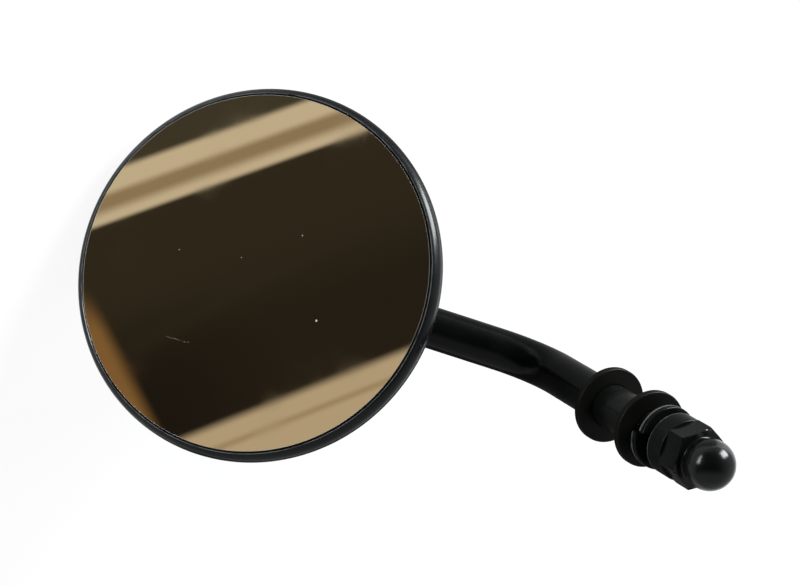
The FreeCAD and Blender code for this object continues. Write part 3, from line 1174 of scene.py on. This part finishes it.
@dataclass
class BentStem:
    """One rod from the threaded stud through two bends to the neck of the ball; millimetres."""

    layout: Layout
    radius: float = 6.0
    shoulder: float = -2.0
    shoulder_edge: float = 0.6
    shoulder_spans: int = 4
    corner_drop: float = 38.57
    corner_radius: float = 20.0
    corner_spans: int = 28
    run_slope: float = 27.45
    run_length: float = 72.0
    elbow_radius: float = 12.0
    elbow_spans: int = 24
    neck_radius: float = 3.0
    neck_reach: float = 11.35
    neck_length: float = 8.6
    flare_spans: int = 8
    flare_power: float = 1.4
    spigot: float = 4.0
    stud_radius: float = 5.0
    stud_edge: float = 0.4
    stud_root: float = 0.3
    pitch: float = 1.25
    thread_depth: float = 0.68
    thread_sink: float = 0.08
    thread_root: float = 1.05
    thread_crest: float = 0.2
    thread_rounding: float = 0.05
    thread_start: float = 1.6
    thread_end: float = 1.0
    thread_spans: int = 48
    sides: int = 96
    body: str = "perch_stem"

    def build_rod(self, stud_end: float) -> Piece:
        """Model the rod from the stud's point to the spigot in the ball.

        Args:
            stud_end: height of the stud's end, millimetres.

        Returns:
            The rod.
        """
        down = Axis.DOWN.vector
        slope = math.radians(self.run_slope)
        run = Vector((math.cos(slope), 0, -math.sin(slope)))
        elbow = down * self.corner_drop + run * self.run_length
        neck = (self.layout.ball / MM - elbow).normalized()
        corner_reach = self.corner_radius * math.tan(down.angle(run) / 2)
        elbow_reach = self.elbow_radius * math.tan(run.angle(neck) / 2)
        core = self.stud_radius - self.thread_depth
        start = Vector((0, 0, stud_end * MM))
        chain = RingChain("stem_rod", start, (core - self.stud_edge) * MM, down, self.sides)
        chain.to(self.stud_edge * MM, core * MM)
        chain.to((stud_end - self.stud_edge - self.shoulder - self.stud_root) * MM, core * MM)
        chain.to(self.stud_root * MM, (core + self.stud_root) * MM)
        chain.to(0, (self.radius - self.shoulder_edge) * MM)
        for step in range(1, self.shoulder_spans + 1):
            before, turn = (math.pi / 2 * place / self.shoulder_spans for place in (step - 1, step))
            drop = self.shoulder_edge * (math.cos(before) - math.cos(turn))
            chain.to(drop * MM, (self.radius - self.shoulder_edge * (1 - math.sin(turn))) * MM)
        top = self.shoulder_edge - self.shoulder
        chain.to((self.corner_drop - corner_reach - top) * MM, self.radius * MM)
        chain.swing(run, self.corner_radius * MM, self.corner_spans)
        chain.to((self.run_length - corner_reach - elbow_reach) * MM, self.radius * MM)
        chain.swing(neck, self.elbow_radius * MM, self.elbow_spans)
        flare = (self.neck_reach - self.neck_length) / self.flare_spans
        for step in range(1, self.flare_spans + 1):
            share = math.sin(step / self.flare_spans * math.pi / 2) ** self.flare_power
            chain.to(flare * MM, (self.radius - (self.radius - self.neck_radius) * share) * MM)
        chain.to((self.neck_length + self.spigot) * MM, self.neck_radius * MM)
        return Bench.close(chain.piece)

    def build_thread(self, stud_end: float) -> Piece:
        """Model the stud's thread as a ridge wound on its core.

        Args:
            stud_end: height of the stud's end, millimetres.

        Returns:
            The thread.
        """
        width = self.thread_depth + self.thread_sink
        low = self.shoulder + self.thread_start
        rise = stud_end - self.thread_end - low
        return wound("stud_thread", width, self.thread_root, self.thread_crest, self.thread_rounding,
                     (self.stud_radius - width / 2, low), rise, rise / self.pitch, self.thread_spans)

    def build(self) -> None:
        """Build and dress the stem."""
        stud_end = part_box("stem")[1].z / MM
        coat = CoatFinish("stem_coat", roughness=0.20, index=1.17)
        dress(self.build_rod(stud_end), coat, self.body, "stem_black", "stem")
        thread = CoatFinish("thread_coat", roughness=0.34, index=1.25, peel_height=0.002 * MM)
        dress(self.build_thread(stud_end), thread, self.body, "stem_black")


@dataclass
class PerchHardware:
    """Two flat washers and the sleeve between them; millimetres."""

    seat_depth: float = 0.4
    seat_radius: float = 6.2
    bore: float = 5.25
    edge: float = 0.45
    sleeve_bore: float = 5.15
    sleeve_edges: Point = (0.15, 0.3)
    sides: int = 128
    body: str = "perch_stem"

    def build_washer(self, low: float, high: float, radius: float) -> Piece:
        """Model the lower washer, its shallow seat upwards.

        Args:
            low: its lower face.
            high: its upper face.
            radius: its outer radius.

        Returns:
            The washer.
        """
        seat = high - self.seat_depth
        outline = Outline().corners(
            (self.bore, low, 0.15), (radius, low, self.edge), (radius, high, self.edge),
            (self.seat_radius, high, 0.08), (self.seat_radius, seat), (self.bore, seat, 0.1))
        return turned("lower_washer", outline, self.sides)

    def build(self) -> None:
        """Build and dress the washers and the sleeve."""
        low, high = (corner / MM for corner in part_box("clamp_washers"))
        sleeve_low, sleeve_high = (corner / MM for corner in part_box("spacer_sleeve"))
        lower = self.build_washer(low.z, sleeve_low.z + self.seat_depth, high.x)
        over = Matrix.Translation((0, 0, (low.z + high.z) * MM)) @ Matrix.Rotation(math.pi, 4, "X")
        upper = Bench.twin(lower, "upper_washer", over)
        oxide = CoatFinish("washer_oxide", (0.0013, 0.0013, 0.0010), 0.42, 1.16, peel_height=0.006 * MM)
        dress(lower, oxide, self.body, "washer_black", "clamp_washers")
        dress(upper, oxide, self.body, "washer_black", "clamp_washers")
        sleeve = plain_ring("sleeve", self.sleeve_bore, sleeve_low, sleeve_high, self.sleeve_edges,
                            self.sides)
        coat = CoatFinish("sleeve_coat", roughness=0.28, index=1.28)
        dress(sleeve, coat, self.body, "sleeve_black", "spacer_sleeve")


@dataclass
class NutSet:
    """Split lock washer, collar and cap nut on the stud; millimetres and degrees."""

    bore: float = 5.15
    lock_thickness: float = 2.2
    lock_rounding: float = 0.4
    split_angle: float = 6.0
    collar_edges: Point = (0.2, 0.45)
    flats: float = 15.0
    corner_angle: float = -30.0
    hex_height: float = 6.4
    base_radius: float = 8.2
    chamfer_slope: float = 30.0
    edge: float = 0.14
    edge_angle: float = 20.0
    dome_radius: float = 6.7
    dome_rise: float = 10.25
    dome_top: float = 87.0
    dome_spans: int = 30
    dome_sink: float = 0.6
    neck_radius: float = 5.9
    neck_fillet: float = 0.35
    fillet_arc: Point = (250.0, 180.0)
    fillet_spans: int = 4
    thread_bore: float = 5.05
    bore_mouth: float = 0.5
    bore_depth: float = 12.95
    bore_cone: float = 1.6
    # painted highlights: lighter lines on the lock washer's and the collar's lower outer edges
    highlight_width: float = 0.45
    wear_and_highlight_colour: Colour = (0.055, 0.057, 0.058)
    lock_highlight_rise: float = 0.5
    collar_highlight: Point = (0.1, 0.25)
    sides: int = 128

    def build_lock_washer(self, low: Vector, high: Vector, rise: float) -> Piece:
        """Model the split spring washer in its free state.

        Args:
            low: lower corner of its solid's box.
            high: upper corner.
            rise: climb of its bar from end to end.

        Returns:
            The washer.
        """
        width = high.y - self.bore
        turns = 1 - self.split_angle / 360
        place = (self.bore + width / 2, low.z + self.lock_thickness / 2)
        piece = wound("lock_washer_bar", width, self.lock_thickness, self.lock_thickness, self.lock_rounding,
                      place, rise, turns, self.sides)
        Bench.place(piece, Matrix.Rotation(math.radians(self.split_angle / 2), 4, "Z"))
        return piece

    def build_hexagon(self, base: float) -> Piece:
        """Model the nut's hexagon, chamfered at both ends.

        Args:
            base: height of its lower face.

        Returns:
            The hexagon.
        """
        top = base + self.hex_height
        flat = self.flats / 2
        across = flat / math.cos(math.radians(30))
        reach = across + 1
        fall = math.tan(math.radians(self.chamfer_slope))
        Bench.deselect()
        bpy.ops.mesh.primitive_cylinder_add(
            vertices=6, radius=across * MM, depth=self.hex_height * MM,
            location=(0, 0, (base + self.hex_height / 2) * MM),
            rotation=(0, 0, math.radians(self.corner_angle - 30)))
        hexagon = Bench.named("dome_nut")
        bpy.ops.object.transform_apply(location=True, rotation=True)
        trim = Outline().corners(
            (self.base_radius, base), (reach, base + (reach - self.base_radius) * fall),
            (reach, top - (reach - flat) * fall), (flat, top))
        Bench.combine(hexagon, turned("nut_trim", trim, self.sides, closed=False), Combine.COMMON)
        Bench.apply(hexagon, "BEVEL", {
            "width": self.edge * MM, "segments": 2, "limit_method": "ANGLE",
            "angle_limit": math.radians(self.edge_angle),
        })
        return hexagon

    def build_nut(self) -> Piece:
        """Model the cap nut: the hexagon, a closed dome on a neck, and the bore.

        Returns:
            The nut.
        """
        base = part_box("cap_nut")[0].z / MM
        top = base + self.hex_height
        end = base + self.bore_depth
        foot = self.neck_radius + self.neck_fillet
        undercut = -math.degrees(math.acos(self.neck_radius / self.dome_radius))
        nut = self.build_hexagon(base)
        cap = Outline().corners((foot, top - self.dome_sink), (foot, top))
        cap.arc((foot, top + self.neck_fillet), self.neck_fillet, *self.fillet_arc, self.fillet_spans)
        cap.arc((0, base + self.dome_rise), self.dome_radius, undercut, self.dome_top, self.dome_spans)
        Bench.combine(nut, turned("nut_dome", cap, self.sides, closed=False), Combine.BOTH)
        hole = Outline().corners(
            (self.thread_bore + self.bore_mouth, base - self.bore_mouth),
            (self.thread_bore, base + self.bore_mouth),
            (self.thread_bore, end - self.bore_cone), (self.thread_bore - self.bore_cone, end))
        Bench.combine(nut, turned("nut_hole", hole, self.sides, closed=False), Combine.CUT)
        return Bench.clean(nut)

    def build(self) -> None:
        """Build and dress the set."""
        low, high = (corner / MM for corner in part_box("lock_washer"))
        climb = high.z - low.z - self.lock_thickness
        # painted highlight along the lock washer's lower outer edge
        worn_and_highlit = EdgeWearAndHighlight(high.y, low.z + self.lock_highlight_rise, self.highlight_width, climb)
        gloss = CoatFinish("lock_gloss", roughness=0.22, index=1.14, peel_height=0.002 * MM, worn_and_highlit=(worn_and_highlit,),
                           wear_and_highlight_colour=self.wear_and_highlight_colour)
        dress(self.build_lock_washer(low, high, climb), gloss, "loose_washers", "lock_black", "lock_washer")
        low, high = (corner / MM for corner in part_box("collar"))
        collar = plain_ring("nut_collar", self.bore, low, high, self.collar_edges, self.sides)
        inset, rise = self.collar_highlight
        # painted highlight near the collar's lower outer edge
        worn_and_highlit = EdgeWearAndHighlight(high.x - inset, low.z + rise, self.highlight_width)
        coat = CoatFinish("collar_coat", (0.0012, 0.0014, 0.0013), 0.34, 1.16, worn_and_highlit=(worn_and_highlit,),
                          wear_and_highlight_colour=self.wear_and_highlight_colour)
        dress(collar, coat, "loose_washers", "collar_black", "collar")
        plated = CoatFinish("nut_gloss", roughness=0.19, index=1.24, peel_height=0.0015 * MM)
        dress(self.build_nut(), plated, "nut", "nut_black", "cap_nut")


@dataclass(frozen=True)
class GlassView:
    """Painted reflection: pale and dark bands that the glass shows, placed in pixels about the picture's
    centre.
    """

    turn: float = -19.67
    center: Point = (256.0, 274.0)
    dark_high: Colour = (0.0310, 0.0225, 0.0112)
    dark_low: Colour = (0.0205, 0.0145, 0.0078)
    dark_edges: Point = (-40.0, 60.0)
    corner: Colour = (0.0115, 0.0082, 0.0050)
    corner_side: Point = (-140.0, 20.0)
    corner_drop: Point = (-20.0, 90.0)
    corner_share: float = 0.8
    ridge_tilt: float = 0.15
    ridge_level: float = 8.0
    ridge_width: float = 16.0
    ridge_share: float = 0.3
    patch: Colour = (0.227, 0.111, 0.032)
    patch_tilt: float = 0.51
    patch_place: float = 180.0
    patch_scale: float = 0.89
    patch_side: Point = (-9.0, 10.0)
    patch_drop: Point = (5.0, 62.0)
    above: Colour = (0.052, 0.041, 0.0225)
    beige: Colour = (0.60, 0.462, 0.277)
    beige_top: Point = (-150.0, -142.0)
    beige_bottom: Point = (-101.0, -95.0)
    stripe: Colour = (0.295, 0.199, 0.093)
    stripe_top: Point = (-130.0, -121.0)
    stripe_bottom: Point = (-115.0, -103.0)
    low_tilt: float = 0.035
    beige_low: Colour = (0.50, 0.366, 0.203)
    beige_low_top: Point = (120.0, 132.0)
    stripe_low: Colour = (0.375, 0.262, 0.125)
    stripe_low_top: Point = (142.0, 148.0)
    stripe_low_bottom: Point = (148.0, 154.0)

    def material(self) -> Material:
        """Build the bands.

        Returns:
            The material.
        """
        material, graph = new_graph("painted_room_reflection")
        right, down = graph.across_and_up()
        across = right - (self.center[0] - IMAGE_WIDTH / 2)
        drop = down - (self.center[1] - IMAGE_HEIGHT / 2)
        turn = math.radians(self.turn)
        along = across * math.cos(turn) + drop * math.sin(turn)
        level = drop * math.cos(turn) - across * math.sin(turn)
        low = level + along * self.low_tilt
        ridge = (level + along * self.ridge_tilt - self.ridge_level).math("ABSOLUTE")
        edge = (across - drop * self.patch_tilt + self.patch_place) * self.patch_scale
        layers = (
            (along.fade(*self.corner_side) * level.step(*self.corner_drop) * self.corner_share, self.corner),
            (ridge.fade(0.0, self.ridge_width) * self.ridge_share, self.dark_high),
            (edge.fade(*self.patch_side) * drop.step(*self.patch_drop), self.patch),
            (level.fade(*self.beige_top), self.above),
            (level.band(self.beige_top, self.beige_bottom), self.beige),
            (level.band(self.stripe_top, self.stripe_bottom), self.stripe),
            (low.step(*self.beige_low_top), self.beige_low),
            (low.band(self.stripe_low_top, self.stripe_low_bottom), self.stripe_low),
        )
        colour = graph.blend(level.step(*self.dark_edges), self.dark_high, self.dark_low)
        for mask, tone in layers:
            colour = graph.blend(mask, colour, tone)
        graph.close(graph.shine(colour))
        return material


@dataclass(frozen=True)
class SoftBox:
    """A soft box: its direction along the picture's right, down and near, and its size in metres."""

    name: str
    toward: tuple[float, float, float]
    size: Point
    radiance: float
    distance: float = 1.2


@dataclass
class Studio:
    """Floor, soft boxes, the dim walls that the gloss shows, and the camera; metres."""

    layout: Layout
    glass: Vector
    camera_place: Vector = field(default_factory=lambda: Vector((0.36965, -0.09577, 0.47562)))
    look: Vector = field(default_factory=lambda: Vector((-0.52154, 0.14042, -0.84159)))
    image_down: Vector = field(default_factory=lambda: Vector((-0.20065, 0.93852, 0.28094)))
    focal_pixels: float = 2250.0
    sensor: float = 36.0
    clip_start: float = 0.01
    white: Colour = (1.0, 1.0, 1.0)
    soft_light: float = 0.6
    floor_radius: float = 12.0
    floor_sides: int = 96
    floor_colour: Colour = (0.85, 0.85, 0.85)
    floor_shade: float = 0.10
    gloss_shade: float = 0.9
    card_distance: float = 2.0
    card_half: float = 235.0
    card_center: Point = (-144.0, -19.0)
    room_radius: float = 2.6
    room_spans: tuple[int, int] = (72, 36)
    room_left: Point = (-86.0, -64.0)
    room_right: Point = (26.0, 95.0)
    room_top: Point = (-68.0, -50.0)
    room_bottom: Point = (14.0, 46.0)
    room_colour: Colour = (0.020, 0.016, 0.011)
    # painted shadow on the floor by the object, seen in reflections alone
    dim_sides: Point = (-0.125, 0.115)
    dim_reach: Point = (-0.6, 0.21)
    dim_border: float = 0.004
    dim_blend: float = 0.015
    dim_fade: float = 0.035
    dim_spread: float = 0.03
    dim_lift: float = 0.0005
    painted_shadow_colour: Colour = (0.085, 0.082, 0.078)
    painted_shadow_pale_colour: Colour = (0.42, 0.415, 0.41)
    lamp_colour: Colour = (0.94, 0.99, 1.0)
    lamp_diffuse: float = 0.04
    lamps: tuple[SoftBox, ...] = (
        SoftBox("left_box", (-0.76, -0.42, 0.50), (0.40, 0.75), 36.0),
        SoftBox("right_box", (0.79, -0.52, 0.18), (0.62, 0.42), 50.0),
    )

    @property
    def image_right(self) -> Vector:
        """Direction to the right of the picture."""
        return self.image_down.cross(self.look)

    def build_camera(self) -> None:
        """Stand the camera where the photograph was taken."""
        data = bpy.data.cameras.new("camera")
        data.sensor_fit = "HORIZONTAL"
        data.sensor_width = self.sensor
        data.lens = self.focal_pixels * self.sensor / IMAGE_WIDTH
        data.clip_start = self.clip_start
        camera = bpy.data.objects.new("camera", data)
        camera.matrix_world = placed(self.camera_place, self.image_right, -self.image_down, -self.look)
        bpy.context.scene.collection.objects.link(camera)
        bpy.context.scene.camera = camera

    @staticmethod
    def seen(graph: Graph) -> Wire:
        """1 for rays that show the background: from the camera, off gloss and through glass.

        Args:
            graph: the graph that asks.

        Returns:
            The factor.
        """
        camera, gloss, through = (graph.add("ShaderNodeLightPath", {}, {}, f"Is {ray} Ray")
                                  for ray in ("Camera", "Glossy", "Transmission"))
        return (camera + gloss + through).clamp()

    def build_floor(self, height: float) -> None:
        """Lay the pale floor: white to the camera and in reflections, with a soft shadow.

        Args:
            height: its height, metres.
        """
        Bench.deselect()
        bpy.ops.mesh.primitive_circle_add(vertices=self.floor_sides, radius=self.floor_radius,
                                          fill_type="NGON", location=(0, 0, height))
        floor = Bench.named("floor")
        material, graph = new_graph("pale_floor")
        matt = graph.add("ShaderNodeBsdfDiffuse", {}, {"Color": graph.rgba(self.floor_colour)})
        gloss = graph.add("ShaderNodeLightPath", {}, {}, "Is Glossy Ray")
        shade = gloss * (self.gloss_shade - self.floor_shade) + self.floor_shade
        shown = graph.choose(shade, graph.shine(self.white), matt)
        graph.close(graph.choose(self.seen(graph), matt, shown))
        floor.data.materials.append(material)
        floor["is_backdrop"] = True

    def build_world(self) -> None:
        """Fill the studio with soft light and show it white behind the object and in gloss."""
        world = bpy.data.worlds.new("studio")
        world.use_nodes = True
        graph = Graph(world.node_tree)
        soft = graph.shine(self.white, "Background", self.soft_light)
        white = graph.shine(self.white, "Background")
        graph.close(graph.choose(self.seen(graph), soft, white), "World")
        bpy.context.scene.world = world

    @staticmethod
    def only_gloss(piece: Piece, material: Material) -> None:
        """Give a card its material, show it in reflections alone, and stage it.

        Args:
            piece: the card.
            material: its material.
        """
        piece.data.materials.append(material)
        for ray in ("camera", "diffuse", "shadow", "transmission", "volume_scatter"):
            setattr(piece, f"visible_{ray}", False)
        piece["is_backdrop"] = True

    def build_room(self) -> None:
        """Bend a dim wall round the camera's side, for the dark of the gloss."""
        segments, rings = self.room_spans
        Bench.deselect()
        bpy.ops.mesh.primitive_uv_sphere_add(segments=segments, ring_count=rings, radius=self.room_radius,
                                             location=self.layout.ball)
        room = Bench.named("room_wall")
        bpy.ops.object.transform_apply(location=True)
        bpy.ops.object.mode_set(mode="EDIT")
        bpy.ops.mesh.select_mode(type="FACE")
        bpy.ops.mesh.select_all(action="DESELECT")
        bpy.ops.object.mode_set(mode="OBJECT")
        for face in room.data.polygons:
            way = (face.center - self.layout.ball).normalized()
            side = math.degrees(math.atan2(way.dot(self.image_right), -way.dot(self.look)))
            level = math.degrees(math.asin(max(-1.0, min(1.0, way.dot(self.image_down)))))
            kept = self.room_left[0] < side < self.room_right[1]
            face.select = not (kept and self.room_top[0] < level < self.room_bottom[1])
        bpy.ops.object.mode_set(mode="EDIT")
        bpy.ops.mesh.delete(type="FACE")
        bpy.ops.object.mode_set(mode="OBJECT")
        self.only_gloss(room, self.room_material())

    def room_material(self) -> Material:
        """Dark in the middle of the wall, fading to the studio's white at its edges.

        Returns:
            The material.
        """
        material, graph = new_graph("room_dark")
        place = graph.coordinates()
        degree = 180 / math.pi
        right, down, near = (graph.along(place, self.layout.ball, way) / self.room_radius
                             for way in (self.image_right, self.image_down, -self.look))
        side = right.math("ARCTAN2", near) * degree
        level = down.math("ARCSINE") * degree
        dark = side.band(self.room_left, self.room_right) * level.band(self.room_top, self.room_bottom)
        graph.close(graph.shine(graph.blend(dark, self.white, self.room_colour)))
        return material

    def build_painted_shadow_floor(self, height: float) -> None:
        """Lay a painted shadow on the floor by the object, seen in gloss alone.

        Args:
            height: the floor's height, metres.
        """
        left, right = self.dim_sides
        near, far = self.dim_reach
        Bench.deselect()
        bpy.ops.mesh.primitive_plane_add(size=1.0)
        dim = Bench.named("painted_shadow_floor")
        middle = Vector(((left + right) / 2, (near + far) / 2, height + self.dim_lift))
        size = Matrix.Diagonal((right - left, far - near, 1, 1))
        Bench.place(dim, Matrix.Translation(middle) @ size)
        material, graph = new_graph("painted_shadow_floor")
        across, up = graph.across_and_up()
        mask = across.band((left, left + self.dim_spread), (right - self.dim_fade, right))
        mask = mask * up.band((near, near + self.dim_fade), (far - self.dim_fade, far))
        # painted shadow: paler grey up to a border along Y, darker beyond it
        lower = up.step(self.dim_border, self.dim_border + self.dim_blend)
        glow = graph.shine(graph.blend(lower, self.painted_shadow_pale_colour, self.painted_shadow_colour))
        clear = graph.add("ShaderNodeBsdfTransparent", {}, {})
        graph.close(graph.choose(mask, clear, glow))
        self.only_gloss(dim, material)

    def build_card(self) -> None:
        """Hang the card with the painted reflection where the glass shows it."""
        normal = self.layout.normal
        flip = Matrix.Identity(3) - 2 * Matrix([[a * b for b in normal] for a in normal])
        eye = self.glass + flip @ (self.camera_place - self.glass)
        ahead = flip @ self.look
        scale = self.card_distance / self.focal_pixels
        Bench.deselect()
        bpy.ops.mesh.primitive_plane_add(size=2 * self.card_half, location=(*self.card_center, 0))
        bpy.ops.object.transform_apply(location=True)
        card = Bench.named("room_view")
        card.matrix_world = placed(eye + ahead * self.card_distance, flip @ self.image_right * scale,
                                   flip @ self.image_down * scale, ahead * scale)
        self.only_gloss(card, GlassView().material())

    def build_lamp(self, box: SoftBox) -> None:
        """Hang a soft box that faces the object.

        Args:
            box: the soft box.
        """
        data = bpy.data.lights.new(box.name, "AREA")
        data.shape = "RECTANGLE"
        data.size, data.size_y = box.size
        data.energy = box.radiance * math.pi * data.size * data.size_y
        data.color = self.lamp_colour
        data.diffuse_factor = self.lamp_diffuse
        lamp = bpy.data.objects.new(box.name, data)
        right, down, near = box.toward
        way = (self.image_right * right + self.image_down * down - self.look * near).normalized()
        side = self.image_down.cross(way).normalized()
        lamp.matrix_world = placed(self.layout.ball + way * box.distance, side, way.cross(side), way)
        lamp.visible_camera = False
        bpy.context.scene.collection.objects.link(lamp)

    def build(self, height: float) -> None:
        """Set up the studio.

        Args:
            height: the floor's height, metres.
        """
        self.build_camera()
        self.build_floor(height)
        self.build_world()
        self.build_room()
        self.build_painted_shadow_floor(height)
        self.build_card()
        for box in self.lamps:
            self.build_lamp(box)
        bpy.context.scene.view_settings.view_transform = "Standard"


def main() -> None:
    """Load the frame, build the pieces in order and set up the studio."""
    logging.basicConfig(level=logging.INFO, format="%(name)s: %(message)s")
    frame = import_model()
    solid_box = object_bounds()
    layout = Layout.read(frame)
    nodes = frame["nodes"]
    head = MirrorHead(layout)
    head.build(nodes)
    BallSwivel(layout).build(nodes)
    BentStem(layout).build()
    PerchHardware().build()
    NutSet().build()
    Bench.deselect()
    Studio(layout, head.glass_face()).build(solid_box[0].z)


if __name__ == "__main__":
    main()
